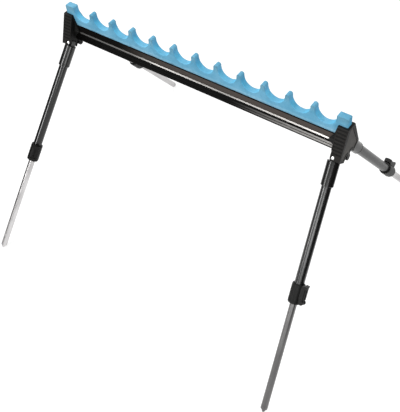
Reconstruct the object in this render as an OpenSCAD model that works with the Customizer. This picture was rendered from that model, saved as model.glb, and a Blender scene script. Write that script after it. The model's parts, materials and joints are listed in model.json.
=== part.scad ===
// Folding bank rest for fishing poles: a notched foam strip on an extruded beam,
// carried by two moulded end caps and four telescopic stakes.
// X runs along the beam, -Y is the front, +Z is up, and z = 0 is the ground.

/* [Foam rest] */
// Number of round notches in the foam
notch_count = 12; // [6:1:14]
// Distance from one notch to the next
notch_pitch = 55; // [52:0.5:70]
// Radius of the round bottom of a notch
notch_r = 22.5; // [18:0.5:24.5]
// Depth of a notch below the tooth tops
notch_depth = 30; // [26:0.5:32]
// Foam left under each notch
foam_under = 14; // [10:0.5:25]
// Thickness of the foam, front to back
foam_t = 15; // [12:0.5:18]
// Width of the solid block at each end of the foam
end_block_w = 24.5; // [20:0.5:35]
// Rounding of the end blocks' top corners
block_round = 2.5; // [1:0.5:6]
// Thickness of the tongue that holds the foam in the beam
tongue_t = 4; // [3:0.5:5]
// Depth of the tongue below the foam
tongue_h = 7; // [4:0.5:8]

/* [Beam] */
// Width of the beam across its sides
beam_w = 26; // [25:0.5:30]
// Height of the beam
beam_h = 37; // [34:0.5:40]
// Height of the sloping shoulder
shoulder_h = 10.4; // [8:0.2:13]
// Wall of the extrusion
beam_wall = 1.6; // [1.2:0.1:2]
// Flat on each side of the foam on top of the beam
beam_lip = 0.5; // [0.2:0.1:1.5]
// Depth of the two trim grooves along each side
groove_depth = 0.5; // [0.3:0.1:0.8]
// Height of a trim groove
groove_h = 1.1; // [0.6:0.1:2]

/* [End caps] */
// Length of a cap along the beam
cap_w = 23; // [22:0.5:26]
// Width of a cap across its top
cap_top_w = 25; // [23:0.5:30]
// How far a cap stands above the beam
cap_rise = 24; // [16:0.5:26]
// Slope of the front and rear faces from upright
face_slope = 21.6; // [19:0.2:24]
// Wall between the end of the foam and the outer face
cap_end_wall = 4.8; // [4.4:0.1:6]
// Number of grip ribs on each sloping face
rib_count = 7; // [4:1:7]
// Distance from one grip rib to the next
rib_pitch = 7.05; // [6:0.05:7.2]
// Depth of the grooves between the ribs
rib_depth = 1; // [0.6:0.1:1.2]
// Width of the raised rim around the cover
rim_w = 5.4; // [3:0.1:6.2]
// Thickness of the cover
cover_t = 1.6; // [1.2:0.1:2]
// How deep the cover lies below the rim
cover_sunk = 0.6; // [0.2:0.1:1.2]
// Thickness of the wings that grip the sides of the beam
wing_t = 3; // [2:0.2:3.4]
// Reach of the wings along the beam
wing_reach = 14.5; // [10:0.5:20]
// Radius of the screw boss between the legs
boss_r = 6.5; // [5.5:0.1:7]
// Drop of the screw boss below the beam
boss_drop = 19; // [17:0.5:22]

/* [Leg hinges] */
// Distance of a hinge pin from the outer face of the cap
pin_inset = 16; // [15.5:0.1:17]
// Distance of a hinge pin in front of or behind the middle
pivot_y = 25.7; // [25:0.1:28]
// Drop of a hinge pin below the bottom of the beam
pivot_drop = 5.6; // [5:0.1:9]
// Radius of the hinge pin
pin_r = 3; // [2:0.1:3.2]
// Thickness of the tongue that turns on the pin
knuckle_t = 12.4; // [10:0.2:13]
// Height of the pin above the joint line of the leg
joint_drop = 6.2; // [6:0.1:6.6]
// Outer radius of the knuckle sleeve
sleeve_r = 12.8; // [12:0.1:13]
// Length of the knuckle sleeve
sleeve_len = 50; // [40:1:70]

/* [Stance] */
// Slope of the legs away from the beam, front and rear
splay = 37.5; // [34:0.5:39]
// Lean of the legs outwards, past the ends of the beam
lean = 5.6; // [2:0.2:8]
// Length of a leg from its pin to the tip of its stake
leg_reach = 558; // [540:1:562]

/* [Legs] */
// Radius of the leg tube
tube_r = 10; // [9.5:0.1:10.5]
// Wall of the leg tube
tube_wall = 1.2; // [0.8:0.1:1.4]
// Distance from the pin to the top of the clamp
clamp_from = 260; // [255:1:270]
// Radius of the stake
stake_r = 7.4; // [7:0.1:8]
// Wall of the stake
stake_wall = 1.4; // [1:0.1:2]
// Length of the pointed tip
point_len = 10.5; // [10:0.5:16]
// Radius of the tip's round shank
shank_r = 4; // [3.4:0.1:5]
// Length of the tip's round shank
shank_len = 4; // [3.5:0.5:6]
// Radius of the very end of the point
tip_r = 1.2; // [0.8:0.1:2]
// Length of the bush on the top of the stake
bush_len = 30; // [15:1:40]

/* [Clamps] */
// Length of a clamp
clamp_len = 42; // [38:1:46]
// Radius of a clamp's barrel
clamp_r = 13.2; // [12.8:0.1:14]
// Part of the clamp's length that grips the stake
clamp_grip = 18; // [12:1:22]
// Height of the lever's pin above the bottom of the clamp
lever_up = 7; // [6:0.5:9]
// Width of the lever's handle
lever_w = 16; // [13:0.5:18]
// Thickness of the lever's handle
lever_t = 7.4; // [6:0.1:8]
// How far the lever's finger tip flares out
lever_flare = 1.2; // [0.8:0.2:3]
// Radius of the lever's pin
lever_pin_r = 1.5; // [1:0.1:1.8]
// Number of grip ridges on a clamp
ridge_count = 9; // [5:1:13]

/* [Fits] */
// Running clearance of pins and of the stake, on the radius
run = 0.05; // [0.03:0.01:0.1]
// Clearance between fixed pieces that slide together
slip = 0.15; // [0.1:0.01:0.2]
// Gap between pieces that pass each other
gap = 0.3; // [0.2:0.05:0.4]

/* [Hidden] */
$fn = 48;
LEFT = -1;
RIGHT = 1;
FRONT = -1;
REAR = 1;
foam_blue = [0.36, 0.70, 0.86];
black_alloy = [0.10, 0.10, 0.11];
black_nylon = [0.14, 0.14, 0.14];
cover_grey = [0.30, 0.29, 0.28];
tube_black = [0.16, 0.16, 0.17];
bare_alloy = [0.78, 0.78, 0.79];
bright_steel = [0.86, 0.86, 0.87];

// Length of a cutter that passes right through, and how far other cutters run past a face
through = 60;
over = 1;
edge_bevel = 0.8;

// Heights: a leg stands on the round end of its point
leg_slope = cos(lean) * cos(splay);
pivot_z = (leg_reach - tip_r) * leg_slope + tip_r;
beam_bottom = pivot_z + pivot_drop;
beam_top = beam_bottom + beam_h;
tooth_top = beam_top + foam_under + notch_depth;

// Lengths along the beam
foam_half = (notch_count - 1) / 2 * notch_pitch + notch_r + end_block_w;
cap_out = foam_half + cap_end_wall;
cap_in = cap_out - cap_w;
pivot_x = cap_out - pin_inset;
beam_half = foam_half - cap_end_wall;
tooth_r = (notch_pitch - 2 * notch_r) / 2;

// Beam section
beam_top_w = foam_t + 2 * beam_lip;
ledge_w = 1.6;
ledge_h = 0.8;
slot_w = tongue_t + 2 * slip;
slot_h = tongue_h + 1;
groove_drops = [22.2, 28.9];
port_r = 3.6;
screw_r = 2;
screw_head_r = 3.5;
screw_head_h = 2.4;
screw_len = 22;
key_r = 1.6;
key_depth = 1.4;
upper_port = -slot_h - port_r;
lower_port = port_r - beam_h;

// Cap section: a face line slopes down from the top, and the skirt ends square to the leg
cap_top = beam_top + cap_rise;
face_run = tan(face_slope);
cheek_in = 13.5;
boss_z = beam_bottom - boss_drop;
boss_set_in = 4;
boss_rim = 1.2;
tail_half = 0.5 * boss_r;
web_drop = 8;
rib_margin = 1.4;
rib_from = 6.3;
cover_face = cap_out - cover_sunk;
recess_floor = cover_face - cover_t;
cover_screw_len = 14;
cover_screw_head = 1.3;

// Wings: where their outline bends, along the beam and down from its top
wing_nose_r = 2;
wing_nose_drop = shoulder_h + wing_nose_r;
wing_slope_end = 6.5;
wing_knee = 4;
wing_knee_drop = 23;
wing_heel_drop = 29.6;

// Hinge: the head's seat on the sloping side, and the rivet's tail inside
spot_u = 11.4;
head_h = 1.9;
head_r = pin_r + 0.8;
spot_r = head_r + 1;
tail_h = 1.4;
room_in = 5;
sweep_reach = 1.5 * through;
slot_half = knuckle_t / 2 + gap;
slot_r = joint_drop + 0.8;
knuckle_r = slot_r - 0.5;
ring_w = 1;
ring_depth = 0.5;
ring_places = [3.5, 6];

// Clamp, measured from its top
lever_z = lever_up - clamp_len;
cam_r = 4.4;
cam_w = 5.6;
ear_t = 3;
ear_r = 4.8;
ridge_r = 0.8;
ridge_sunk = 0.2;
ridge_margin = 3;
ridge_start = 100;
ridge_arc = 160;
split_w = 1.6;
split_top = 9;
lever_x = clamp_r + gap + cam_r;
lever_in = clamp_r + 2 * gap;
lever_out = lever_in + lever_t;
lever_foot = lever_z + ear_r + 4 * gap;
neck_w = 2 * cam_r - 2;
flare_drop = 6;
flare_h = 7;
panel_w = 3.4;
panel_depth = 2.6;

// Tubes, measured from the pin
tube_from = joint_drop + 10;
tube_to = clamp_from + clamp_len - clamp_grip - gap;
stake_from = tube_to - bush_len - gap;
stake_to = leg_reach - point_len;
spigot_len = 18;
crimp_up = 7;
crimp_w = 1.6;
crimp_depth = 0.4;

// Which way each lever faces: 0 is square to the sloping side, 90 is outwards
front_left_turn = -38;
front_right_turn = 80;
rear_left_turn = 0;
rear_right_turn = 0;

// A point of the front leg's plane, u out of the sloping side and w up the leg
function leg_point(u, w) = [
    -pivot_y - u * cos(splay) + w * sin(splay),
    pivot_z + u * sin(splay) + w * cos(splay)];
// How far the sloping face, moved in by m, lies from the leg's axis at height w
function face_u(w, m) =
    (cap_top_w / 2 - m / cos(face_slope) - pivot_y + face_run * (cap_top - pivot_z)
        + w * (sin(splay) - face_run * cos(splay))) / (cos(splay) + face_run * sin(splay));
function mirrored(points) = [for (i = [len(points) - 1:-1:0]) [-points[i][0], points[i][1]]];
function web_w(m) =
    (beam_bottom - web_drop + m - pivot_z + (cheek_in - m) * sin(splay)) / cos(splay);
// Outline of a cap seen from its end, moved in by m
function cap_half(m) = [
    [-cap_top_w / 2 + m / cos(face_slope) + m * face_run, cap_top - m],
    leg_point(face_u(m - joint_drop + gap, m), m - joint_drop + gap),
    leg_point(m - cheek_in, m - joint_drop + gap),
    leg_point(m - cheek_in, web_w(m))];
function cap_outline(m) = concat(cap_half(m), mirrored(cap_half(m)));
// Outline of the beam, moved out by c
function beam_half_outline(c) = [
    [-beam_top_w / 2 - c, c],
    [-beam_w / 2 + ledge_w - c, -shoulder_h + c / 2],
    [-beam_w / 2 - c, -shoulder_h - ledge_h + c / 2],
    [-beam_w / 2 - c, -beam_h - c]];
function beam_outline(c) = concat(beam_half_outline(c), mirrored(beam_half_outline(c)));

module flip(axis, on) {
    if (on) mirror(axis) children();
    else children();
}
// Extrudes a section drawn in Y and Z along X, from x = from to x = to
module along_x(from, to) {
    translate([from, 0, 0]) rotate([90, 0, 90]) linear_extrude(to - from) children();
}
// Places a leg piece drawn with its pin at the origin along Y and its axis down -Z
module at_pin(side, face) {
    flip([1, 0, 0], side == LEFT) flip([0, 1, 0], face == REAR)
        translate([pivot_x, -pivot_y, pivot_z]) rotate([-splay, 0, 0]) children();
}
module at_leg(side, face) {
    at_pin(side, face) rotate([0, -lean, 0]) children();
}
module at_clamp(side, face, turn) {
    at_leg(side, face) translate([0, 0, -clamp_from]) rotate([0, 0, turn - 90]) children();
}
module across_y(half) {
    rotate([90, 0, 0]) linear_extrude(2 * half, center = true) children();
}
module rod_y(r, len) {
    rotate([90, 0, 0]) cylinder(r = r, h = len, center = true);
}
// Rod from z = from down to z = to with a small bevel on both rims
module bevelled_rod(r, from, to, bevel) {
    translate([0, 0, -to]) cylinder(r1 = r - bevel, r2 = r, h = bevel);
    translate([0, 0, -to + bevel]) cylinder(r = r, h = to - from - 2 * bevel);
    translate([0, 0, -from - bevel]) cylinder(r1 = r, r2 = r - bevel, h = bevel);
}

// Foam rest
module block_outline() {
    inner = foam_half - end_block_w;
    translate([inner, beam_top]) square([end_block_w, tooth_top - beam_top - block_round]);
    translate([inner + block_round, beam_top])
        square([end_block_w - 2 * block_round, tooth_top - beam_top]);
    for (x = [inner + block_round, foam_half - block_round])
        translate([x, tooth_top - block_round]) circle(block_round);
}
module comb_outline() {
    inner = foam_half - end_block_w;
    difference() {
        translate([-inner, beam_top]) square([2 * inner, tooth_top - tooth_r - beam_top]);
        for (i = [0:notch_count - 1])
            translate([(i - (notch_count - 1) / 2) * notch_pitch, tooth_top - notch_depth + notch_r]) {
                circle(notch_r, $fn = 96);
                translate([-notch_r, 0]) square([2 * notch_r, notch_depth]);
            }
    }
    for (i = [0:notch_count - 2])
        translate([(i - (notch_count - 2) / 2) * notch_pitch, tooth_top - tooth_r]) circle(tooth_r);
    block_outline();
    mirror([1, 0]) block_outline();
}
module foam_rest() {
    color(foam_blue) {
        across_y(foam_t / 2) comb_outline();
        translate([-beam_half, -tongue_t / 2, beam_top - tongue_h])
            cube([2 * beam_half, tongue_t, tongue_h + over]);
    }
}

// Beam
module beam_section() {
    difference() {
        polygon(beam_outline(0));
        difference() {
            polygon(beam_outline(-beam_wall));
            square([slot_w + 2 * beam_wall, 2 * (slot_h + beam_wall)], center = true);
            translate([0, upper_port]) circle(port_r);
            translate([0, lower_port]) circle(port_r);
        }
        square([slot_w, 2 * slot_h], center = true);
        for (z = [upper_port, lower_port]) translate([0, z]) circle(screw_r + run);
        for (side = [LEFT, RIGHT], drop = groove_drops)
            translate([side * beam_w / 2, -drop]) square([2 * groove_depth, groove_h], center = true);
    }
}
module beam() {
    color(black_alloy) translate([0, 0, beam_top]) along_x(-beam_half, beam_half) beam_section();
}

// End caps
module wing_section() {
    difference() {
        union() {
            polygon([for (p = beam_outline(slip)) [p[0] + sign(p[0]) * wing_t, p[1]]]);
            translate([-foam_t / 2 - slip - wing_t, 0]) square([foam_t + 2 * (slip + wing_t), cap_rise]);
        }
        polygon(beam_outline(slip));
        translate([-foam_t / 2 - slip, -over]) square([foam_t + 2 * slip, cap_rise + 2 * over]);
    }
}
// The wings taper from the cap's top to a rounded nose on the beam's side
module wings() {
    nose_x = cap_in - wing_reach;
    intersection() {
        translate([0, 0, beam_top]) along_x(nose_x, cap_in + over) wing_section();
        across_y(beam_w) translate([0, beam_top]) union() {
            polygon([[cap_in + over, cap_rise], [cap_in, cap_rise], [cap_in - wing_slope_end, 0],
                [nose_x + 0.1 * wing_nose_r, wing_nose_r / 2 - wing_nose_drop],
                [nose_x + wing_nose_r / 2, -wing_nose_drop - 0.85 * wing_nose_r],
                [cap_in - wing_knee, -wing_knee_drop], [cap_in, -wing_heel_drop],
                [cap_in + over, -wing_heel_drop]]);
            translate([nose_x + wing_nose_r, -wing_nose_drop]) circle(wing_nose_r);
        }
    }
}
// Room that the leg sweeps from its rest to its fold: a band of the given half width
// that starts at the given distance from the pin
module sweep_room(half, start) {
    for (turn = [-lean, 90]) rotate(-turn)
        translate([-half, -sweep_reach]) square([2 * half, sweep_reach - start]);
    difference() {
        polygon([[0, 0], sweep_reach * [sin(lean), -cos(lean)], [-sweep_reach, -sweep_reach],
            [-sweep_reach, 0]]);
        if (start > 0) circle(start);
    }
}
module hinge_room(side, face) {
    at_pin(side, face) {
        across_y(slot_half) {
            circle(slot_r);
            sweep_room(knuckle_r + gap, 0);
        }
        translate([0, -room_in, 0])
            across_y(sleeve_r + gap + room_in) sweep_room(sleeve_r + gap, joint_drop - gap);
        rotate([90, 0, 0]) {
            translate([0, 0, -cheek_in - tail_h]) cylinder(r = pin_r + run, h = through);
            translate([0, 0, spot_u]) cylinder(r = spot_r, h = through);
        }
    }
}
module grip_grooves(face) {
    flip([0, 1, 0], face == REAR)
        for (i = [0:rib_count])
            translate([cap_in + rib_margin, -cap_top_w / 2, cap_top]) rotate([-face_slope, 0, 0])
                translate([0, -over, -rib_from - i * rib_pitch])
                    cube([cap_w - 2 * rib_margin, over + rib_depth, rib_pitch / 2]);
}
module boss_rod(r, from, to) {
    translate([from, 0, boss_z]) rotate([0, 90, 0]) cylinder(r = r, h = to - from);
}
// Outline of the cover's recess, moved in by m, with its tail over the screw boss
module cover_outline(m) {
    polygon(cap_outline(rim_w + m));
    translate([m - tail_half, boss_z]) square([2 * (tail_half - m), boss_drop - web_drop + 2 * rim_w]);
    translate([0, boss_z]) circle(boss_r - boss_rim - m);
}
module cap_shape() {
    difference() {
        union() {
            along_x(cap_in, cap_out) polygon(cap_outline(0));
            boss_rod(boss_r, cap_in + boss_set_in, cap_out);
            translate([cap_in + boss_set_in, -tail_half - boss_rim, boss_z])
                cube([cap_w - boss_set_in, 2 * (tail_half + boss_rim), boss_drop]);
            wings();
        }
        translate([0, 0, beam_top]) along_x(cap_in - over, beam_half + slip) polygon(beam_outline(slip));
        translate([cap_in - over, -foam_t / 2 - slip, beam_top])
            cube([foam_half + slip - cap_in + over, foam_t + 2 * slip, cap_rise + over]);
        along_x(recess_floor, cap_out + over) cover_outline(0);
        boss_rod(screw_r + run, cover_face - cover_screw_len, cap_out);
        for (z = [upper_port, lower_port]) translate([0, 0, beam_top + z]) rotate([0, 90, 0]) {
            cylinder(r = screw_r + slip, h = cap_out);
            translate([0, 0, recess_floor - screw_head_h])
                cylinder(r = screw_head_r + slip, h = screw_head_h + over);
        }
        for (face = [FRONT, REAR]) {
            hinge_room(RIGHT, face);
            grip_grooves(face);
        }
    }
}
module end_cap(side) {
    color(black_nylon) flip([1, 0, 0], side == LEFT) cap_shape();
}
// The countersunk head of the cover's screw, grown by c
module countersink(c) {
    translate([0, 0, boss_z]) rotate([0, 90, 0]) {
        translate([0, 0, cover_face - cover_screw_head])
            cylinder(r1 = screw_r + c, r2 = screw_head_r + c, h = cover_screw_head);
        cylinder(r = screw_r + c, h = cover_face);
    }
}
module cap_cover(side) {
    color(cover_grey) flip([1, 0, 0], side == LEFT) difference() {
        along_x(recess_floor, cover_face) cover_outline(slip);
        countersink(slip);
    }
}

// Fasteners
module screw(x, z, len) {
    translate([x, 0, z]) rotate([0, 90, 0]) difference() {
        union() {
            cylinder(r = screw_head_r, h = screw_head_h);
            translate([0, 0, -len]) cylinder(r = screw_r, h = len);
        }
        translate([0, 0, screw_head_h - key_depth]) cylinder(r = key_r, h = key_depth + over, $fn = 6);
    }
}
module beam_screws(side) {
    color(bright_steel) flip([1, 0, 0], side == LEFT)
        for (z = [upper_port, lower_port])
            screw(recess_floor - screw_head_h, beam_top + z, screw_len);
}
module cover_screw(side) {
    color(bright_steel) flip([1, 0, 0], side == LEFT) intersection() {
        countersink(0);
        boss_rod(screw_head_r, cover_face - cover_screw_len + over, cover_face);
    }
}

// Leg hinge
module hinge_pin(side, face) {
    dome_r = (pow(head_r, 2) + pow(head_h, 2)) / (2 * head_h);
    color(bright_steel) at_pin(side, face) rotate([90, 0, 0]) {
        translate([0, 0, -cheek_in]) cylinder(r = pin_r, h = cheek_in + spot_u + head_h / 4);
        intersection() {
            translate([0, 0, spot_u + head_h - dome_r]) sphere(dome_r);
            translate([0, 0, spot_u]) cylinder(r = head_r, h = head_h);
        }
        translate([0, 0, -cheek_in - tail_h]) cylinder(r = head_r, h = tail_h);
    }
}
module knuckle(side, face) {
    sleeve_to = joint_drop + sleeve_len;
    color(black_nylon) at_leg(side, face) difference() {
        union() {
            across_y(knuckle_t / 2) {
                circle(knuckle_r);
                translate([-knuckle_r, -joint_drop - edge_bevel])
                    square([2 * knuckle_r, joint_drop + edge_bevel]);
            }
            bevelled_rod(sleeve_r, joint_drop, sleeve_to, edge_bevel);
        }
        translate([0, 0, -sleeve_to - over]) cylinder(r = tube_r + run, h = sleeve_to + over - tube_from);
        rod_y(pin_r + run, through);
        for (place = ring_places) translate([0, 0, place - sleeve_to - ring_w / 2]) difference() {
            cylinder(r = sleeve_r + over, h = ring_w);
            cylinder(r = sleeve_r - ring_depth, h = ring_w);
        }
    }
}

// Telescopic leg
module leg_tube(side, face) {
    color(tube_black) at_leg(side, face) translate([0, 0, -tube_to]) difference() {
        cylinder(r = tube_r, h = tube_to - tube_from);
        translate([0, 0, -over]) cylinder(r = tube_r - tube_wall, h = tube_to);
    }
}
module stake_bush(side, face) {
    color(black_nylon) at_leg(side, face) translate([0, 0, -stake_from - bush_len]) difference() {
        cylinder(r = tube_r - tube_wall - run, h = bush_len);
        translate([0, 0, -over]) cylinder(r = stake_r, h = bush_len + 2 * over);
    }
}
module stake(side, face) {
    color(bare_alloy) at_leg(side, face) translate([0, 0, -stake_to]) difference() {
        cylinder(r = stake_r, h = stake_to - stake_from);
        translate([0, 0, -over]) cylinder(r = stake_r - stake_wall, h = stake_to);
        translate([0, 0, crimp_up]) difference() {
            cylinder(r = stake_r + over, h = crimp_w);
            cylinder(r = stake_r - crimp_depth, h = crimp_w);
        }
    }
}
module stake_point(side, face) {
    color(bright_steel) at_leg(side, face) {
        translate([0, 0, -stake_to]) cylinder(r = stake_r - stake_wall - run, h = spigot_len);
        translate([0, 0, -stake_to - edge_bevel])
            cylinder(r1 = stake_r - edge_bevel, r2 = stake_r, h = edge_bevel);
        translate([0, 0, -stake_to - edge_bevel - shank_len]) cylinder(r = shank_r, h = shank_len);
        translate([0, 0, tip_r - leg_reach]) {
            cylinder(r1 = tip_r, r2 = shank_r, h = point_len - edge_bevel - shank_len - tip_r);
            sphere(tip_r);
        }
    }
}

// Cam clamp, drawn with its top at the origin and its lever towards +X
module clamp_ridges() {
    for (i = [0:ridge_count - 1])
        rotate([0, 0, ridge_start + i * ridge_arc / (ridge_count - 1)])
            translate([clamp_r - ridge_sunk, 0, ridge_margin - clamp_len])
                cylinder(r = ridge_r, h = clamp_len - 2 * ridge_margin);
}
module clamp_ears() {
    for (side = [LEFT, RIGHT]) translate([0, side * (cam_w / 2 + gap + ear_t / 2), lever_z]) {
        translate([lever_x, 0, 0]) rod_y(ear_r, ear_t);
        translate([0, -ear_t / 2, -ear_r]) cube([lever_x, ear_t, 2 * ear_r]);
    }
}
module clamp(side, face, turn) {
    color(black_nylon) at_clamp(side, face, turn) difference() {
        union() {
            bevelled_rod(clamp_r, 0, clamp_len, edge_bevel);
            clamp_ears();
            clamp_ridges();
        }
        translate([0, 0, clamp_grip - clamp_len]) cylinder(r = tube_r + run, h = clamp_len);
        translate([0, 0, -clamp_len - over]) cylinder(r = stake_r + run, h = clamp_len);
        translate([0, -split_w / 2, -clamp_len - over])
            cube([through, split_w, clamp_len + over - split_top]);
        translate([clamp_r + gap, -cam_w / 2 - gap, -clamp_len - over])
            cube([through, cam_w + 2 * gap, clamp_len]);
        translate([lever_x, 0, lever_z]) rod_y(lever_pin_r + run, through);
    }
}
module lever_handle() {
    intersection() {
        translate([0, -lever_w / 2, lever_foot]) cube([through, lever_w, through]);
        union() {
            translate([0, 0, lever_foot]) cylinder(r = lever_out, h = -flare_drop - lever_foot);
            translate([0, 0, -flare_drop])
                cylinder(r1 = lever_out, r2 = lever_out + lever_flare, h = flare_h);
        }
    }
}
module lever(side, face, turn) {
    color(black_nylon) at_clamp(side, face, turn) difference() {
        union() {
            translate([lever_x, 0, lever_z]) rod_y(cam_r, cam_w);
            translate([lever_x - cam_r, -cam_w / 2, lever_z])
                cube([neck_w, cam_w, lever_foot + over - lever_z]);
            lever_handle();
        }
        translate([0, 0, lever_z - ear_r]) cylinder(r = lever_in, h = over + ear_r - flare_drop - lever_z);
        translate([0, 0, over - flare_drop])
            cylinder(r1 = lever_in, r2 = lever_in + lever_flare, h = flare_h);
        translate([lever_x, 0, lever_z]) rod_y(lever_pin_r + run, through);
        translate([lever_out - panel_depth, -panel_w / 2, lever_foot + 2 * over])
            cube([through, panel_w, -flare_drop - 3 * over - lever_foot]);
    }
}
module lever_pin(side, face, turn) {
    color(bright_steel) at_clamp(side, face, turn) translate([lever_x, 0, lever_z])
        rod_y(lever_pin_r, cam_w + 2 * (gap + ear_t));
}

foam_rest();
beam();
end_cap(LEFT);  // left_end_cap
end_cap(RIGHT);  // right_end_cap
cap_cover(LEFT);  // left_cap_cover
cap_cover(RIGHT);  // right_cap_cover
beam_screws(LEFT);  // left_beam_screws
beam_screws(RIGHT);  // right_beam_screws
cover_screw(LEFT);  // left_cover_screw
cover_screw(RIGHT);  // right_cover_screw
hinge_pin(LEFT, FRONT);  // front_left_hinge_pin
hinge_pin(RIGHT, FRONT);  // front_right_hinge_pin
hinge_pin(LEFT, REAR);  // rear_left_hinge_pin
hinge_pin(RIGHT, REAR);  // rear_right_hinge_pin
knuckle(LEFT, FRONT);  // front_left_knuckle
knuckle(RIGHT, FRONT);  // front_right_knuckle
knuckle(LEFT, REAR);  // rear_left_knuckle
knuckle(RIGHT, REAR);  // rear_right_knuckle
leg_tube(LEFT, FRONT);  // front_left_leg_tube
leg_tube(RIGHT, FRONT);  // front_right_leg_tube
leg_tube(LEFT, REAR);  // rear_left_leg_tube
leg_tube(RIGHT, REAR);  // rear_right_leg_tube
clamp(LEFT, FRONT, front_left_turn);  // front_left_clamp
clamp(RIGHT, FRONT, front_right_turn);  // front_right_clamp
clamp(LEFT, REAR, rear_left_turn);  // rear_left_clamp
clamp(RIGHT, REAR, rear_right_turn);  // rear_right_clamp
lever(LEFT, FRONT, front_left_turn);  // front_left_lever
lever(RIGHT, FRONT, front_right_turn);  // front_right_lever
lever(LEFT, REAR, rear_left_turn);  // rear_left_lever
lever(RIGHT, REAR, rear_right_turn);  // rear_right_lever
lever_pin(LEFT, FRONT, front_left_turn);  // front_left_lever_pin
lever_pin(RIGHT, FRONT, front_right_turn);  // front_right_lever_pin
lever_pin(LEFT, REAR, rear_left_turn);  // rear_left_lever_pin
lever_pin(RIGHT, REAR, rear_right_turn);  // rear_right_lever_pin
stake_bush(LEFT, FRONT);  // front_left_stake_bush
stake_bush(RIGHT, FRONT);  // front_right_stake_bush
stake_bush(LEFT, REAR);  // rear_left_stake_bush
stake_bush(RIGHT, REAR);  // rear_right_stake_bush
stake(LEFT, FRONT);  // front_left_stake
stake(RIGHT, FRONT);  // front_right_stake
stake(LEFT, REAR);  // rear_left_stake
stake(RIGHT, REAR);  // rear_right_stake
stake_point(LEFT, FRONT);  // front_left_stake_point
stake_point(RIGHT, FRONT);  // front_right_stake_point
stake_point(LEFT, REAR);  // rear_left_stake_point
stake_point(RIGHT, REAR);  // rear_right_stake_point
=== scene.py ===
import json
import math

import bmesh
import bpy
import numpy as np
from mathutils import Matrix, Vector


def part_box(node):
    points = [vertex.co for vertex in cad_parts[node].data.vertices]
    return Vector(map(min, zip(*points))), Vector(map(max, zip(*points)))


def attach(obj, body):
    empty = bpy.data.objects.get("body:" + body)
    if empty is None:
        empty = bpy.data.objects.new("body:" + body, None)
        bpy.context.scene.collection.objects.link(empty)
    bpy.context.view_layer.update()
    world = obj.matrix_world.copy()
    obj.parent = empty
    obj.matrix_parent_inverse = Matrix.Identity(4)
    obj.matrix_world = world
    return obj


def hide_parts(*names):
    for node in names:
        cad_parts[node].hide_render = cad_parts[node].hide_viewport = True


# A folding bank rest for fishing poles: foam comb, beam, end caps and four telescopic stakes.
# Everything is in metres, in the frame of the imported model.
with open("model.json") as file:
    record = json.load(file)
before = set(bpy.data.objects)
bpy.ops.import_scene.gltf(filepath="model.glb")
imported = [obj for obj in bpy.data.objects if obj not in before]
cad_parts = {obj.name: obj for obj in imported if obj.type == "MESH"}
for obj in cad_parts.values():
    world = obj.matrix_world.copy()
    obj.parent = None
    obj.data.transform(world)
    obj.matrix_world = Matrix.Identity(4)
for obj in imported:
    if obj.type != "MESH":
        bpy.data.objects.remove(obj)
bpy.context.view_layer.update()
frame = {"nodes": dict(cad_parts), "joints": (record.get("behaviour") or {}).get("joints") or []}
nodes = frame["nodes"]
joints = {joint["name"]: joint for joint in frame["joints"]}
sides = ["left", "right"]
legs = ["front_left", "front_right", "rear_left", "rear_right"]
print("frame loaded:", len(nodes), "nodes")


# Shader graphs, written as expressions

class Wire:
    # One output socket of a node, with arithmetic that adds Math nodes
    def __init__(self, board, socket):
        self.board = board
        self.socket = socket

    def maths(self, operation, *values):
        return self.board.add("ShaderNodeMath", {"operation": operation}, values)

    def __add__(self, other):
        return self.maths("ADD", self, other)

    def __sub__(self, other):
        return self.maths("SUBTRACT", self, other)

    def __rsub__(self, other):
        return self.maths("SUBTRACT", other, self)

    def __mul__(self, other):
        return self.maths("MULTIPLY", self, other)

    def __truediv__(self, other):
        return self.maths("DIVIDE", self, other)

    def __rtruediv__(self, other):
        return self.maths("DIVIDE", other, self)

    def __abs__(self):
        return self.maths("ABSOLUTE", self)

    __radd__ = __add__
    __rmul__ = __mul__

    def most(self, other):
        return self.maths("MAXIMUM", self, other)

    def within(self, none, full):    # 0 at none, 1 at full, smooth between, whichever of the two is larger
        sockets = {"Value": self, "From Min": none, "From Max": full}
        return self.board.add("ShaderNodeMapRange", {"interpolation_type": "SMOOTHSTEP"}, sockets)


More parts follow.
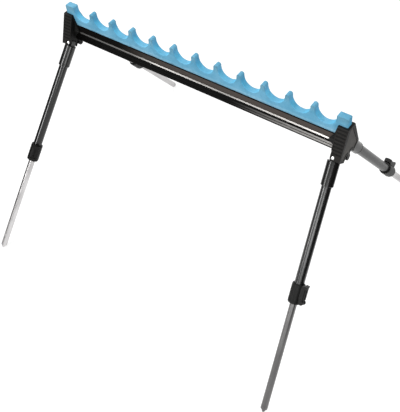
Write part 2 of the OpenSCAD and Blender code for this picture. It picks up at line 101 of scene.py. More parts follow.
class Board:
    # The node graph of one material, or of the world
    def __init__(self, name, kind="Material"):
        self.kind = kind
        self.holder = (bpy.data.worlds if kind == "World" else bpy.data.materials).new(name)
        self.holder.use_nodes = True
        self.tree = self.holder.node_tree
        self.tree.nodes.clear()

    def add(self, kind, settings=None, sockets=(), output=0):
        # settings are set first; sockets is a dictionary by name or number, or a list in the node's order
        node = self.tree.nodes.new(kind)
        for key, value in (settings or {}).items():
            if key == "stops":
                self.setStops(node.color_ramp, value)
            else:
                setattr(node, key, value)
        pairs = sockets.items() if isinstance(sockets, dict) else enumerate(sockets)
        for key, value in pairs:
            if isinstance(value, Wire):
                self.tree.links.new(value.socket, node.inputs[key])
            elif value is not None:
                node.inputs[key].default_value = value
        return Wire(self, node.outputs[output]) if node.outputs else None

    def setStops(self, ramp, stops):
        while len(ramp.elements) > 1:
            ramp.elements.remove(ramp.elements[-1])
        ramp.elements[0].position, ramp.elements[0].color = stops[0]
        for position, colour in stops[1:]:
            ramp.elements.new(position).color = colour

    def blend(self, factor, first, second):    # first where factor is 0, second where it is 1
        first, second = (colour if isinstance(colour, Wire) else (*colour, 1) for colour in (first, second))
        settings = {"data_type": "RGBA", "clamp_factor": True}
        return self.add("ShaderNodeMix", settings, {0: factor, 6: first, 7: second}, output=2)

    def ramp(self, factor, stops):
        stops = [(position, (*colour, 1)) for position, colour in stops]
        return self.add("ShaderNodeValToRGB", {"stops": stops}, (factor,))

    def times(self, first, second):    # two colours or vectors
        return self.add("ShaderNodeVectorMath", {"operation": "MULTIPLY"}, (first, second))

    def noise(self, place, scale, detail, roughness=0.5):
        sockets = {"Vector": place, "Scale": scale, "Detail": detail, "Roughness": roughness}
        return self.add("ShaderNodeTexNoise", None, sockets)

    def streaks(self, matrix, stretch, detail, roughness=0.5):    # noise drawn out along a piece
        return self.noise(self.objectPlace(matrix, stretch), 1.0, detail, roughness)

    def cells(self, place, scale):
        return self.add("ShaderNodeTexVoronoi", None, {"Vector": place, "Scale": scale})

    def bump(self, height, strength, distance, under=None):
        sockets = {"Strength": strength, "Distance": distance, "Height": height, "Normal": under}
        return self.add("ShaderNodeBump", None, sockets)

    def objectPlace(self, matrix=None, stretch=None):
        # Object coordinates, brought into a piece's own frame by the inverse of its matrix
        place = self.add("ShaderNodeTexCoord", output="Object")
        if matrix is not None:
            inverse = matrix.inverted()
            shift, turn = inverse.to_translation(), inverse.to_euler()
            sockets = {"Vector": place, "Location": shift, "Rotation": turn}
            place = self.add("ShaderNodeMapping", {"vector_type": "POINT"}, sockets)
        return place if stretch is None else self.times(place, stretch)

    def axis(self, place, index):
        return self.add("ShaderNodeSeparateXYZ", None, (place,), output=index)

    def seen(self):
        # 1 for what the camera sees directly, mirrored or through a clear piece
        rays = [self.add("ShaderNodeLightPath", output="Is " + kind + " Ray")
                for kind in ("Camera", "Glossy", "Transmission")]
        return rays[0].most(rays[1]).most(rays[2])

    def close(self, surface):    # gives back the finished material or world
        self.add("ShaderNodeOutput" + self.kind, None, {"Surface": surface})
        return self.holder

    def finish(self, **sockets):    # names of sockets are given with _ in place of a space
        sockets = {key.replace("_", " "): value for key, value in sockets.items()}
        return self.close(self.add("ShaderNodeBsdfPrincipled", None, sockets))


# Helpers for pieces

def dress(piece, material):
    piece.data.materials.clear()
    piece.data.materials.append(material)


def dressNode(name, material):
    piece = nodes[name]
    if not piece.material_slots:
        piece.data.materials.append(material)
    for materialSlot in piece.material_slots:
        materialSlot.material = material


def newPiece(name, points, faces, material):
    mesh = bpy.data.meshes.new(name)
    mesh.from_pydata(points, [], faces)
    mesh.validate()
    mesh.polygons.foreach_set("use_smooth", [True] * len(mesh.polygons))
    piece = bpy.data.objects.new(name, mesh)
    bpy.context.scene.collection.objects.link(piece)
    dress(piece, material)
    return piece


def flatSheets(name, points, material):
    # Every four points in turn are the corners of one sheet
    faces = [tuple(range(first, first + 4)) for first in range(0, len(points), 4)]
    return newPiece(name, points, faces, material)


softening = {
    "merge": 0.000003,
    "flat": math.radians(0.4),      # facets flatter than this become one face
    "corner": math.radians(33),     # sharper edges are rounded
    "steps": 2,
}


def softCopy(node, width, body, material, joinFlats=False, reshape=None):
    # A copy of a moulded or drawn solid with its sharp edges rounded off
    piece = bpy.data.objects.new(node + "_soft", nodes[node].data.copy())
    bpy.context.scene.collection.objects.link(piece)
    graph = bmesh.new()
    graph.from_mesh(piece.data)
    bmesh.ops.remove_doubles(graph, verts=graph.verts, dist=softening["merge"])
    if reshape:
        reshape(graph)
    if joinFlats:
        bmesh.ops.dissolve_limit(graph, angle_limit=softening["flat"], verts=graph.verts, edges=graph.edges)
    graph.to_mesh(piece.data)
    graph.free()
    piece.data.polygons.foreach_set("use_smooth", [True] * len(piece.data.polygons))
    rounding = piece.modifiers.new("rounding", "BEVEL")
    rounding.width = width
    rounding.segments = softening["steps"]
    rounding.limit_method = "ANGLE"
    rounding.angle_limit = softening["corner"]
    rounding.miter_outer = "MITER_ARC"
    shading = piece.modifiers.new("shading", "WEIGHTED_NORMAL")
    shading.keep_sharp = True
    dress(piece, material)
    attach(piece, body)
    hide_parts(node)


def legMatrix(leg):
    # The leg's own frame: origin at the hinge pin, Y along the pin, Z up the leg
    fold, slide = joints[leg + "_fold"], joints[leg + "_retract"]
    along = Vector(slide["axis"]).normalized()
    pin = Vector(fold["axis"]).normalized()
    turn = Matrix((pin.cross(along), pin, along)).transposed().to_4x4()
    return Matrix.Translation(fold["pos_m"]) @ turn


# Camera, floor and lights

cameraView = {
    "place": (0.73837, -0.88732, 1.43726),
    "yaw": 40.93,        # degrees to the left of straight back
    "pitch": 50.13,      # degrees down
    "roll": -6.44,
    "focal": 717.9,      # in pixels of an image 412 high
    "imageHeight": 412,
    "sensor": 36.0,
    "reach": 50.0,
}
studio = {
    "floorSize": 16.0,
    "floorColour": (0.74, 0.74, 0.74),
    "floorGlow": 0.78,       # share of the pale floor that shadows don't reach
    "floorShade": (0.32, 0.32, 0.32),
    "skyStrength": 0.36,
    "skySeen": 1.0,
    "cardColour": (0.01, 0.01, 0.01),
}
darkCards = {    # start and end on the floor plan, foot, top
    "right": ((0.66, -0.50), (0.66, 0.80), 0.13, 0.62),
    "left": ((-0.75, -0.80), (-0.75, -0.02), 0.003, 0.62),
    "front": ((-1.05, -1.20), (-0.42, -1.20), 0.003, 0.50),
}
softboxes = {    # place, point aimed at, width, height, watts
    "keyBox": ((-0.72, -0.42, 2.55), (0.0, 0.0, 0.45), 1.10, 0.45, 34.0),
    "frontBox": ((-0.84, -1.9, 1.04), (-0.34, 0.0, 0.38), 0.32, 0.76, 14.0),
    "fillBox": ((0.30, -1.5, 2.1), (0.1, 0.0, 0.40), 1.4, 0.5, 7.0),
    "nearBox": ((0.70, -0.74, 0.62), (0.36, -0.12, 0.32), 0.76, 0.26, 3.0),
    "leftBox": ((-2.3, -0.8, 1.25), (0.0, 0.0, 0.35), 0.9, 1.0, 8.0),
    "backBox": ((0.3, 2.4, 1.6), (0.0, 0.0, 0.4), 1.6, 0.8, 5.0),
    "rightBox": ((1.9, 0.1, 1.5), (0.2, 0.0, 0.45), 0.9, 0.9, 7.5),
}


def addCamera(view):
    # Ahead is straight back, turned by the yaw and tipped down by the pitch. The roll turns the picture.
    yaw, pitch, roll = (math.radians(view[key]) for key in ("yaw", "pitch", "roll"))
    level = Vector((math.cos(yaw), math.sin(yaw), 0.0))
    back = Vector((-math.sin(yaw), math.cos(yaw), 0.0))
    ahead = math.cos(pitch) * back - math.sin(pitch) * Vector((0.0, 0.0, 1.0))
    upright = level.cross(ahead)
    across = math.cos(roll) * level + math.sin(roll) * upright
    above = math.cos(roll) * upright - math.sin(roll) * level
    camera = bpy.data.objects.new("camera", bpy.data.cameras.new("camera"))
    camera.data.sensor_fit = "VERTICAL"
    camera.data.sensor_height = view["sensor"]
    camera.data.lens = view["focal"] * view["sensor"] / view["imageHeight"]
    camera.data.clip_end = view["reach"]
    turn = Matrix((across, above, -ahead)).transposed().to_4x4()
    camera.matrix_world = Matrix.Translation(view["place"]) @ turn
    bpy.context.scene.collection.objects.link(camera)
    bpy.context.scene.camera = camera


def addFloor(look):
    half = look["floorSize"] / 2
    board = Board("paleFloor")
    matt = board.add("ShaderNodeBsdfDiffuse", None, {"Color": (*look["floorColour"], 1)})
    shade = board.add("ShaderNodeBsdfDiffuse", None, {"Color": (*look["floorShade"], 1)})
    glow = board.add("ShaderNodeEmission", None, {"Color": (1, 1, 1, 1), "Strength": look["floorGlow"]})
    pale = board.add("ShaderNodeAddShader", None, (shade, glow))
    material = board.close(board.add("ShaderNodeMixShader", None, (board.seen(), matt, pale)))
    corners = [(-half, -half, 0), (half, -half, 0), (half, half, 0), (-half, half, 0)]
    floor = flatSheets("floor", corners, material)


def addDarkCards(look, cards):
    # Black cards beside the rest that only reflections meet, so that the tubes keep dark sides
    board = Board("darkCard")
    black = board.add("ShaderNodeBsdfDiffuse", None, {"Color": (*look["cardColour"], 1)})
    clear = board.add("ShaderNodeBsdfTransparent")
    mirrored = board.add("ShaderNodeLightPath", output="Is Glossy Ray")
    material = board.close(board.add("ShaderNodeMixShader", None, (mirrored, clear, black)))
    corners = [(*corner, height) for start, end, foot, top in cards.values()
               for corner, height in ((start, foot), (end, foot), (end, top), (start, top))]
    sheet = flatSheets("dark_cards", corners, material)


def addSky(look):
    board = Board("softSky", "World")
    plain, bright = (board.add("ShaderNodeBackground", None, {"Color": (1, 1, 1, 1), "Strength": look[key]})
                     for key in ("skyStrength", "skySeen"))
    surface = board.add("ShaderNodeMixShader", None, (board.seen(), plain, bright))
    bpy.context.scene.world = board.close(surface)


def addSoftboxes(boxes):
    for name, (place, aim, width, height, watts) in boxes.items():
        lamp = bpy.data.lights.new(name, "AREA")
        lamp.shape = "RECTANGLE"
        lamp.size = width
        lamp.size_y = height
        lamp.energy = watts
        holder = bpy.data.objects.new(name, lamp)
        holder.location = place
        holder.rotation_euler = (Vector(aim) - Vector(place)).to_track_quat("-Z", "Y").to_euler()
        holder.visible_camera = False
        bpy.context.scene.collection.objects.link(holder)


bpy.context.scene.view_settings.view_transform = "Standard"
addCamera(cameraView)
addFloor(studio)
addDarkCards(studio, darkCards)
addSky(studio)
addSoftboxes(softboxes)
print("camera, floor and lights set")


# Foam comb

foamShape = {
    "notches": 12,
    "notchRadius": 0.0225,
    "notchDepth": 0.030,
    "endBlock": 0.0245,
    "blockRounding": 0.0025,
    "thickness": 0.015,
    "edgeRounding": 0.0011,
    # unevenness of the cut: how far it goes, over which height above the beam it sets in, how far below
    # the top it stops, and its waves, in radians per metre
    "waver": 0.00010,
    "waverThrough": 0.5,      # share of it that goes through the foam
    "waverOver": 0.004,
    "stillTop": 0.001,
    "waves": {"along": 410, "up": 520, "through": 300, "slant": 130, "bend": 190},
    "bendDepth": 3,           # in radians
    # numbers of points
    "blockSidePoints": 22,
    "blockTopPoints": 10,
    "cornerPoints": 6,
    "wallPoints": 4,
    "bowlPoints": 33,
    "tipPoints": 11,
    "edgePoints": 5,
    "facePoints": 9,
    "acrossPoints": 7,
}


def arcPoints(centre, radius, start, end, count):
    # Centre plus radius times the cosine and sine of an angle that runs evenly from start to end
    turn = np.radians(np.linspace(start, end, count))
    return np.stack([centre[0] + radius * np.cos(turn), centre[1] + radius * np.sin(turn)], axis=-1)


def linePoints(start, end, count):
    # Start times what is left of a share plus end times the share, which runs evenly from 0 to 1
    share = np.linspace(0, 1, count)[:, None]
    return np.array(start) * (1 - share) + np.array(end) * share


def footSpread(outline, low, high):
    # Foot positions: low plus the distance to high times the share of the outline's length so far
    steps = np.linalg.norm(np.diff(outline, axis=0), axis=1)
    along = np.concatenate([[0], np.cumsum(steps)])
    return low + (high - low) * along / along[-1]


def combPath(shape, half, bottom, top):
    # Outline of the comb from its lower left corner, over blocks, notches and teeth, to the lower right
    # one. Sides and tops are straight lines; corners, bowls and tips are arcs. Each of its points has a
    # foot position on the beam, from which the flat face runs up to it.
    radius, rounding, block = shape["notchRadius"], shape["blockRounding"], shape["endBlock"]
    pitch = 2 * (half - block - radius) / (shape["notches"] - 1)
    tooth = pitch / 2 - radius
    middle = top - shape["notchDepth"] + radius
    runs, feet = [], []

    def extend(run, foot):
        runs.append(run)
        feet.append(foot)

    def blockRun(outer, inner):
        way = 1 if inner > outer else -1
        angles = ((180, 90), (90, 0)) if way > 0 else ((0, 90), (90, 180))
        first, last = outer + way * rounding, inner - way * rounding
        shoulder = top - rounding
        return np.concatenate([
            linePoints((outer, bottom), (outer, shoulder), shape["blockSidePoints"])[:-1],
            arcPoints((first, shoulder), rounding, *angles[0], shape["cornerPoints"])[:-1],
            linePoints((first, top), (last, top), shape["blockTopPoints"])[:-1],
            arcPoints((last, shoulder), rounding, *angles[1], shape["cornerPoints"])[:-1],
            linePoints((inner, shoulder), (inner, middle), shape["wallPoints"])])

    left = blockRun(-half, block - half)
    extend(left[:-1], footSpread(left, -half, block - half)[:-1])
    for index in range(shape["notches"]):
        centre = (index - (shape["notches"] - 1) / 2) * pitch
        bowl = arcPoints((centre, middle), radius, 180, 360, shape["bowlPoints"])
        extend(bowl[:-1], bowl[:-1, 0])
        if index < shape["notches"] - 1:
            near, tip = centre + radius, top - tooth
            far = near + 2 * tooth
            bump = np.concatenate([
                linePoints((near, middle), (near, tip), shape["wallPoints"])[:-1],
                arcPoints((near + tooth, tip), tooth, 180, 0, shape["tipPoints"])[:-1],
                linePoints((far, tip), (far, middle), shape["wallPoints"])])
            extend(bump[:-1], footSpread(bump, near, far)[:-1])
    right = blockRun(half, half - block)[::-1]
    extend(right, footSpread(right, half - block, half))
    return np.concatenate(runs), np.concatenate(feet)


def loopFaces(rows, columns):
    # Quads between neighbours of a grid of points stored row by row, whose last row meets the first
    row, column = np.meshgrid(np.arange(rows), np.arange(columns - 1), indexing="ij")
    here, after = row * columns + column, (row + 1) % rows * columns + column
    return np.stack([here, here + 1, after + 1, after], axis=-1).reshape(-1, 4)


def foamComb(shape, material):
    # A section through the foam's thickness is carried along the comb's outline. Each section runs up
    # the front face from its foot, round the front edge, across, round the rear edge and down the back.
    # The cut then wavers: two sine waves of the place move its points a little, up and through.
    low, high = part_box("foam_rest")
    half, top, middleY = (high.x - low.x) / 2, high.z, (low.y + high.y) / 2
    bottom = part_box("beam")[1].z
    outline, feet = combPath(shape, half, bottom, top)
    steps = np.gradient(outline, axis=0)
    inward = np.stack([steps[:, 1], -steps[:, 0]], axis=-1)
    inward /= np.linalg.norm(inward, axis=1)[:, None]
    rounding, depth = shape["edgeRounding"], shape["thickness"] / 2
    turn = np.radians(np.linspace(0, 90, shape["edgePoints"]))
    edgeIn = rounding * (1 - np.sin(turn))
    edgeY = depth - rounding * (1 - np.cos(turn))
    rise = np.linspace(0, 1, shape["facePoints"])[:-1]
    faceRim = outline + inward * rounding
    foot = np.stack([feet, np.full(len(feet), bottom)], axis=-1)
    rows = []
    for way, order in ((-1, 1), (1, -1)):
        face = [(foot * (1 - share) + faceRim * share, way * depth) for share in rise]
        edge = [(outline + inward * inset, way * y) for inset, y in zip(edgeIn, edgeY)]
        rows += (face + edge)[::order]
        if way < 0:
            across = np.linspace(-1, 1, shape["acrossPoints"])[1:-1] * (depth - rounding)
            rows += [(outline, y) for y in across]
    points = np.stack([np.insert(place, 1, y, axis=1) for place, y in rows])
    x, y, z = (points[..., index].copy() for index in range(3))
    waves = shape["waves"]
    waver = shape["waver"] * (np.sin(x * waves["along"] + shape["bendDepth"] * np.sin(z * waves["bend"]))
                              + np.sin(z * waves["up"] + x * waves["slant"] + y * waves["through"]))
    lift = np.clip((z - bottom) / shape["waverOver"], 0, 1)
    points[..., 1] += middleY + shape["waverThrough"] * waver * lift
    points[..., 2] = np.minimum(z + waver * lift * (z < top - shape["stillTop"]), top)
    rowCount, columnCount = points.shape[:2]
    ends = [[row * columnCount for row in range(rowCount)],
            [row * columnCount + columnCount - 1 for row in reversed(range(rowCount))]]
    faces = loopFaces(rowCount, columnCount).tolist() + ends
    return newPiece("foam_comb", points.reshape(-1, 3).tolist(), faces, material)


foamLook = {
    "colour": (0.157, 0.468, 0.692),
    "pale": (0.235, 0.567, 0.798),
    "deep": (0.104, 0.381, 0.595),
    # scale and detail of each noise, and the range of its values that it shows in
    "cloud": (28.0, 3.0),
    "cloudRange": (0.35, 0.70),
    "patch": (140.0, 2.0),
    "patchRange": (0.52, 0.80),
    "patchShare": 0.5,
    "grain": (2600.0, 1.0),
    "cell": 900.0,           # cells per metre
    "pitRange": (0.55, 0.10),
    "pitShare": 0.35,
    "cellRelief": 0.6,       # share of the fine relief, the rest is grain
    # strength and distance
    "fineRelief": (0.35, 0.0006),
    "patchRelief": (0.3, 0.002),
    "roughness": 0.82,
    "patchPolish": 0.12,
    "shine": 0.15,
    "toned": 0.045,          # height from the top that the painted light and shade below cover
    # painted light and shade by height: the flat skins are painted pale at the foot and greyer towards the
    # tips; the cut walls are painted bluest in the bowls
    "faceLightTones": [(0.13, (0.89, 0.72, 0.68)), (0.22, (0.64, 0.64, 0.64)), (0.60, (0.54, 0.60, 0.61)),
                  (0.96, (0.56, 0.50, 0.47))],
    "wallLightTones": [(0.33, (0.84, 0.85, 0.84)), (0.40, (0.74, 0.92, 0.93)), (0.58, (0.65, 0.95, 0.98)),
                  (0.70, (0.59, 0.78, 0.85)), (1.0, (0.70, 0.72, 0.72))],
    "faceFrom": (0.0062, 0.0072),    # from the middle, the flat faces take over from the walls here
}


def foamMaterial(look, top):
    # Speckled blue, times painted light and shade by height: share is 0 at the lower end of the tones and 1
    # at the top
    board = Board("closedCellFoam")
    place = board.objectPlace()
    share = (board.axis(place, 2) - (top - look["toned"])) / look["toned"]
    paintedTones = [board.ramp(share, look[key]) for key in ("wallLightTones", "faceLightTones")]
    paintedTone = board.blend(abs(board.axis(place, 1)).within(*look["faceFrom"]), *paintedTones)
    cloud = board.noise(place, *look["cloud"])
    patch = board.noise(place, *look["patch"])
    cell = board.cells(place, look["cell"])
    grain = board.noise(place, *look["grain"])
    base = board.blend(cloud.within(*look["cloudRange"]), look["colour"], look["pale"])
    base = board.blend(patch.within(*look["patchRange"]) * look["patchShare"], base, look["deep"])
    base = board.blend(cell.within(*look["pitRange"]) * look["pitShare"], base, look["deep"])
    height = cell * look["cellRelief"] + grain * (1 - look["cellRelief"])
    normal = board.bump(height, *look["fineRelief"], board.bump(patch, *look["patchRelief"]))
    return board.finish(Base_Color=board.times(base, paintedTone), Normal=normal, Specular_IOR_Level=look["shine"],
                        Roughness=look["roughness"] - patch * look["patchPolish"])


foam = foamComb(foamShape, foamMaterial(foamLook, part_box("foam_rest")[1].z))
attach(foam, "rest")
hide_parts("foam_rest")
print("foam comb made")


# Beam

beamLook = {
    "side": (0.0016, 0.0015, 0.0015),
    "sideWorn": (0.0045, 0.0042, 0.0040),
    # the shoulder's brown-grey is a painted reflection on the black, mottled by the wear noise
    "shoulder": (0.058, 0.049, 0.044),
    "shoulderSheenWorn": (0.086, 0.073, 0.066),
    "shoulderSheenFade": (-0.21, -0.07),    # the shoulder's painted reflection greys in from left to right
    "shoulderSheenLeast": 0.03,
    # drops below the beam's top, each from where an area has faded out to where it is full
    "lipShadowEnd": (0.0022, 0.0027),        # the shoulder is left black above this, a painted shadow under the foam
    "slopeEnd": (0.0147, 0.0145),
    "ledgeStart": (0.0146, 0.0147),
    "ledgeEnd": (0.0159, 0.0158),
    # place along the beam, brightness of the painted highlight on the ledge
    "ledgeHighlightTones": [(-0.30, 0.07), (-0.16, 0.09), (-0.10, 0.24), (0.02, 0.10), (0.08, 0.07), (0.20, 0.13),
                   (0.26, 0.19), (0.31, 0.34)],
    "ledgeHighlightTint": (1.0, 0.96, 0.92),
    "ledgeReach": 0.35,                # of the tones, to each side
    "stripeReflection": (0.32, 0.31, 0.30),
    "reflectionStripes": (0.0247, 0.0314),       # drops of two painted reflection lines below the beam's top
    "stripeHalf": (0.0025, 0.0020),
    "reflectionFade": (0.08, 0.32),        # the painted reflection lines brighten towards the right
    # stretch, detail and roughness of each noise, which is drawn out along the beam
    "drawn": ((6.0, 2400.0, 2400.0), 3.0),
    "cloud": ((9.0, 60.0, 60.0), 2.0),
    "scuff": ((140.0, 900.0, 900.0), 4.0, 0.7),
    "scuffRange": (0.64, 0.82),
    "wear": {"drawn": 0.45, "cloud": 0.35},
    "roughness": 0.22,
    "roughening": {"drawn": 0.12, "scuff": 0.15, "cloud": -0.06, "bare": 0.12},
    "bareMetal": 0.95,
    "relief": (0.04, 0.0002),
    "shine": 0.02,
    "edgeRounding": 0.00022,
}
# Corners of the section as (distance from the middle, drop below the top): the solid's and the scene's
shoulderCorners = {
    (0.0114, 0.0104): (0.0098, 0.0146),
    (0.0130, 0.0112): (0.0130, 0.0159),
    (0.0098, 0.0112): (0.0082, 0.0154),
    (0.0114, 0.0120): (0.0114, 0.0171),
}
cornerReach = 0.00015    # a corner is found within this distance


def beamMaterial(look):
    board = Board("blackAnodised")
    drawn = board.streaks(None, *look["drawn"])
    cloud = board.streaks(None, *look["cloud"])
    scuff = board.streaks(None, *look["scuff"]).within(*look["scuffRange"])
    wear = drawn * look["wear"]["drawn"] + cloud * look["wear"]["cloud"]
    side = board.blend(wear, look["side"], look["sideWorn"])
    shoulder = board.blend(wear, look["shoulder"], look["shoulderSheenWorn"])
    place = board.objectPlace()
    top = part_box("beam")[1].z
    drop = top - board.axis(place, 2)
    along = board.axis(place, 0)
    least = look["shoulderSheenLeast"]
    # The shoulder's painted reflection: grey below the lip, fading to nearly black at the left end; the lip
    # under the foam stays black as a painted shadow
    shoulderSheen = drop.within(*look["slopeEnd"]) * drop.within(*look["lipShadowEnd"])
    shoulderSheen = shoulderSheen * (least + (1 - least) * along.within(*look["shoulderSheenFade"]))
    base = board.blend(shoulderSheen, side, shoulder)
    # A painted highlight along the ledge, its brightness varying along the beam
    ledgeHighlight = drop.within(*look["ledgeStart"]) * drop.within(*look["ledgeEnd"])
    reach = look["ledgeReach"]
    paintedTones = [((spot + reach) / (2 * reach), [paintedTone * part for part in look["ledgeHighlightTint"]])
             for spot, paintedTone in look["ledgeHighlightTones"]]
    base = board.blend(ledgeHighlight, base, board.ramp((along + reach) / (2 * reach), paintedTones))
    # Where reflections and the highlight are painted, the surface is also made bare metal and rougher
    bare = shoulderSheen.most(ledgeHighlight)
    # Two painted reflection lines on the side, fading in towards the right
    paintedHighlight = along.within(*look["reflectionFade"])
    for height in look["reflectionStripes"]:
        line = abs(drop - height).within(*look["stripeHalf"]) * paintedHighlight
        base = board.blend(line, base, look["stripeReflection"])
        bare = bare.most(line)
    more = look["roughening"]
    rough = look["roughness"] + drawn * more["drawn"] + scuff * more["scuff"]
    rough = rough + cloud * more["cloud"] + bare * more["bare"]
    return board.finish(Base_Color=base, Roughness=rough, Metallic=bare * look["bareMetal"],
                        Normal=board.bump(drawn, *look["relief"]), Specular_IOR_Level=look["shine"])


def lowerShoulder(graph):
    # The shoulder of the real beam reaches further down than the solid's
    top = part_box("beam")[1].z
    moved = 0
    for corner in graph.verts:
        for (out, drop), (newOut, newDrop) in shoulderCorners.items():
            if math.hypot(abs(corner.co.y) - out, top - corner.co.z - drop) < cornerReach:
                corner.co.y = math.copysign(newOut, corner.co.y)
                corner.co.z = top - newDrop
                moved += 1
                break
    print("shoulder corners moved:", moved)


softCopy("beam", beamLook["edgeRounding"], "rest", beamMaterial(beamLook), joinFlats=True,
         reshape=lowerShoulder)
print("beam made")


# End caps and covers

mouldedFinish = {    # what all moulded pieces share
    # scale, detail and roughness of each noise
    "cloud": (45.0, 3.0),
    "wear": (420.0, 4.0, 0.65),
    "wearRange": (0.60, 0.80),
    "fineness": 3.2,            # of the finest noise against the grain
    "fineDetail": 1.0,
    "paling": {"cloud": 0.55, "wear": 0.30},
    "ribHighlightShare": 0.9,
    "roughening": {"grain": 0.12, "wear": 0.10, "cloud": -0.06},
    "grainRelief": 0.7,         # share of the relief, the rest is finer
    "reliefDepth": 0.0002,
}
capLook = {
    "colour": (0.003, 0.003, 0.003),
    "pale": (0.009, 0.009, 0.008),
    "paintedHighlight": (0.013, 0.012, 0.011),    # painted highlight on the tops of the grip ribs
    "highlightDepth": (0.0006, 0.0004),
    "slope": 21.6,                    # of the sloping faces, in degrees
    "topHalf": 0.0125,
    "edgeRounding": 0.00035,
    "grainScale": 1500.0,
    "roughness": 0.46,
    "shine": 0.13,
    "relief": 0.16,
}
coverLook = {
    "colour": (0.025, 0.023, 0.020),
    "pale": (0.066, 0.060, 0.053),
    "edgeRounding": 0.00030,
    "grainScale": 2600.0,
    "roughness": 0.36,
    "shine": 0.07,
    "relief": 0.16,
}


def ribHighlight(board, place, look):
    # 1 on the tops of the grip ribs, which get a painted highlight: the points that lie close under a cap's
    # sloping faces. The depth is what is left to the top's edge times the slope's cosine plus the drop
    # times its sine.
    slope = math.radians(look["slope"])
    out = abs(board.axis(place, 1))
    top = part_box("right_end_cap")[1].z
    depth = (look["topHalf"] - out) * math.cos(slope) + (top - board.axis(place, 2)) * math.sin(slope)
    return depth.within(*look["highlightDepth"])


def mouldedMaterial(name, look, matrix=None, finish=mouldedFinish):
    board = Board(name)
    place = board.objectPlace(matrix)
    grain = board.cells(place, look["grainScale"])
    fine = board.noise(place, finish["fineness"] * look["grainScale"], finish["fineDetail"])
    cloud = board.noise(place, *finish["cloud"])
    wear = board.noise(place, *finish["wear"]).within(*finish["wearRange"])
    paling = cloud * finish["paling"]["cloud"] + wear * finish["paling"]["wear"]
    base = board.blend(paling, look["colour"], look["pale"])
    # Rib tops painted paler than the grooves, a painted highlight
    if "paintedHighlight" in look:
        base = board.blend(ribHighlight(board, place, look) * finish["ribHighlightShare"], base, look["paintedHighlight"])
    more = finish["roughening"]
    rough = look["roughness"] + grain * more["grain"] + wear * more["wear"] + cloud * more["cloud"]
    height = grain * finish["grainRelief"] + fine * (1 - finish["grainRelief"])
    normal = board.bump(height, look["relief"], finish["reliefDepth"])
    return board.finish(Base_Color=base, Roughness=rough, Normal=normal, Specular_IOR_Level=look["shine"])


capMaterial = mouldedMaterial("grainedNylon", capLook)
coverMaterial = mouldedMaterial("smoothShield", coverLook)
for side in sides:
    softCopy(side + "_end_cap", capLook["edgeRounding"], "rest", capMaterial)
    softCopy(side + "_cap_cover", coverLook["edgeRounding"], "rest", coverMaterial)
print("caps and covers made")


# Fasteners and hinge pins

metalLooks = {
    "polishedSteel": {"colour": (0.92, 0.92, 0.92), "roughness": 0.32},
    "platedSteel": {"colour": (0.30, 0.30, 0.31), "roughness": 0.28},
    "blackenedSteel": {"colour": (0.020, 0.020, 0.021), "roughness": 0.38},
}
metalFinish = {    # what all three share
    "haze": (700.0, 3.0),
    "fine": (5200.0, 1.0),
    "hazeShare": 0.35,
    "hazeTone": 0.82,
    "hazeRoughness": 0.08,
    "relief": (0.06, 0.0001),
}


def metalMaterial(name, look, finish=metalFinish):
    board = Board(name)
    place = board.objectPlace()
    haze = board.noise(place, *finish["haze"])
    fine = board.noise(place, *finish["fine"])
    hazy = [finish["hazeTone"] * part for part in look["colour"]]
    base = board.blend(haze * finish["hazeShare"], look["colour"], hazy)
    rough = look["roughness"] + haze * finish["hazeRoughness"]
    return board.finish(Base_Color=base, Roughness=rough, Metallic=1.0,
                        Normal=board.bump(fine, *finish["relief"]))


metals = {name: metalMaterial(name, look) for name, look in metalLooks.items()}
for side in sides:
    dressNode(side + "_beam_screws", metals["platedSteel"])
    dressNode(side + "_cover_screw", metals["blackenedSteel"])
for leg in legs:
    dressNode(leg + "_hinge_pin", metals["polishedSteel"])
    dressNode(leg + "_lever_pin", metals["blackenedSteel"])
print("pins and screws finished")


# Legs

tubeLook = {
    "colour": (0.004, 0.004, 0.004),
    "pale": (0.013, 0.013, 0.013),
    # stretch, detail and roughness of each noise, which is drawn out along the tube
    "drawn": ((2600.0, 2600.0, 7.0), 3.0),
    "cloud": ((90.0, 90.0, 12.0), 2.0),
    "rub": ((600.0, 600.0, 60.0), 4.0, 0.7),
    "rubRange": (0.62, 0.80),
    "paling": {"cloud": 0.5, "rub": 0.35},
    "roughness": {"front_left": 0.14, "front_right": 0.21, "rear_left": 0.14, "rear_right": 0.26},
    "roughening": {"drawn": 0.06, "rub": 0.12},
    "relief": (0.07, 0.0002),
    "shine": {"front_left": 0.5, "front_right": 0.68, "rear_left": 0.5, "rear_right": 0.32},
}
stakeLook = {
    "colour": (0.40, 0.39, 0.39),
    "pale": (0.52, 0.51, 0.51),
    "dull": (0.22, 0.21, 0.21),
    # per leg, a painted shade: the front right stake is painted darker and the front left lighter, for how
    # the light falls on them
    "shade": {"front_left": 1.2, "front_right": 0.36, "rear_left": 1.0, "rear_right": 0.9},
    # stretch, detail and roughness of each noise, which is drawn out along the stake
    "drawn": ((3200.0, 3200.0, 9.0), 4.0, 0.6),
    "scratch": ((900.0, 900.0, 130.0), 4.0, 0.7),
    "scratchRange": (0.62, 0.74),
    "scratchShare": 0.55,
    "cloud": ((70.0, 70.0, 22.0), 3.0),
    "cloudRange": (0.3, 0.75),
    "roughness": 0.22,
    "roughening": {"drawn": 0.16, "scratch": 0.12},
    "relief": (0.14, 0.0002),
}
sleeveLook = {
    "colour": (0.004, 0.004, 0.004),
    "pale": (0.011, 0.011, 0.010),
    "edgeRounding": 0.0005,
    "grainScale": 1500.0,
    "roughness": 0.15,
    "shine": {"front_left": 0.5, "front_right": 0.42, "rear_left": 0.5, "rear_right": 0.32},
    "relief": 0.05,
}
clampLook = {
    "colour": (0.003, 0.003, 0.003),
    "pale": (0.008, 0.008, 0.007),
    "edgeRounding": 0.0004,
    "leverRounding": 0.0005,
    "grainScale": 1500.0,
    "roughness": 0.38,
    "shine": 0.16,
    "relief": 0.16,
}


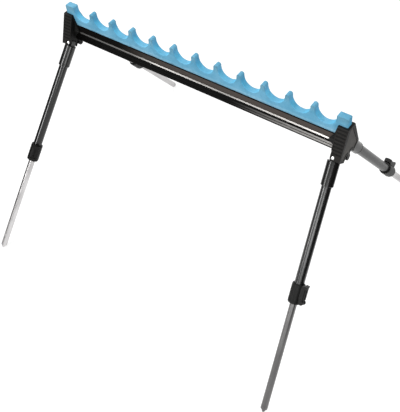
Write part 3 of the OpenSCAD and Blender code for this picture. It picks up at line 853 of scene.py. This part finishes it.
def tubeMaterial(leg, look):
    board, matrix = Board(leg + "_anodisedTube"), legMatrix(leg)
    drawn = board.streaks(matrix, *look["drawn"])
    cloud = board.streaks(matrix, *look["cloud"])
    rub = board.streaks(matrix, *look["rub"]).within(*look["rubRange"])
    paling = cloud * look["paling"]["cloud"] + rub * look["paling"]["rub"]
    base = board.blend(paling, look["colour"], look["pale"])
    more = look["roughening"]
    rough = look["roughness"][leg] + drawn * more["drawn"] + rub * more["rub"]
    return board.finish(Base_Color=base, Roughness=rough, Normal=board.bump(drawn, *look["relief"]),
                        Specular_IOR_Level=look["shine"][leg])


def stakeMaterial(leg, look, name):
    board, matrix = Board(leg + "_" + name), legMatrix(leg)
    drawn = board.streaks(matrix, *look["drawn"])
    scratch = board.streaks(matrix, *look["scratch"]).within(*look["scratchRange"])
    cloud = board.streaks(matrix, *look["cloud"])
    # Each leg's colours are scaled by its painted shade
    shade = look["shade"][leg]
    colour, pale, dull = ([shade * part for part in look[key]] for key in ("colour", "pale", "dull"))
    base = board.blend(cloud.within(*look["cloudRange"]), colour, pale)
    base = board.blend(scratch * look["scratchShare"], base, dull)
    more = look["roughening"]
    rough = look["roughness"] + drawn * more["drawn"] + scratch * more["scratch"]
    return board.finish(Base_Color=base, Roughness=rough, Metallic=1.0,
                        Normal=board.bump(drawn, *look["relief"]))


for leg in legs:
    matrix = legMatrix(leg)
    nylon = mouldedMaterial(leg + "_nylon", clampLook, matrix)
    sleeve = mouldedMaterial(leg + "_sleeve", {**sleeveLook, "shine": sleeveLook["shine"][leg]}, matrix)
    softCopy(leg + "_knuckle", sleeveLook["edgeRounding"], leg + "_leg", sleeve)
    softCopy(leg + "_clamp", clampLook["edgeRounding"], leg + "_leg", nylon)
    softCopy(leg + "_lever", clampLook["leverRounding"], leg + "_lock", nylon)
    dressNode(leg + "_leg_tube", tubeMaterial(leg, tubeLook))
    dressNode(leg + "_stake", stakeMaterial(leg, stakeLook, "bareStake"))
    dressNode(leg + "_stake_point", stakeMaterial(leg, stakeLook, "turnedPoint"))
    dressNode(leg + "_stake_bush", nylon)
print("legs finished")
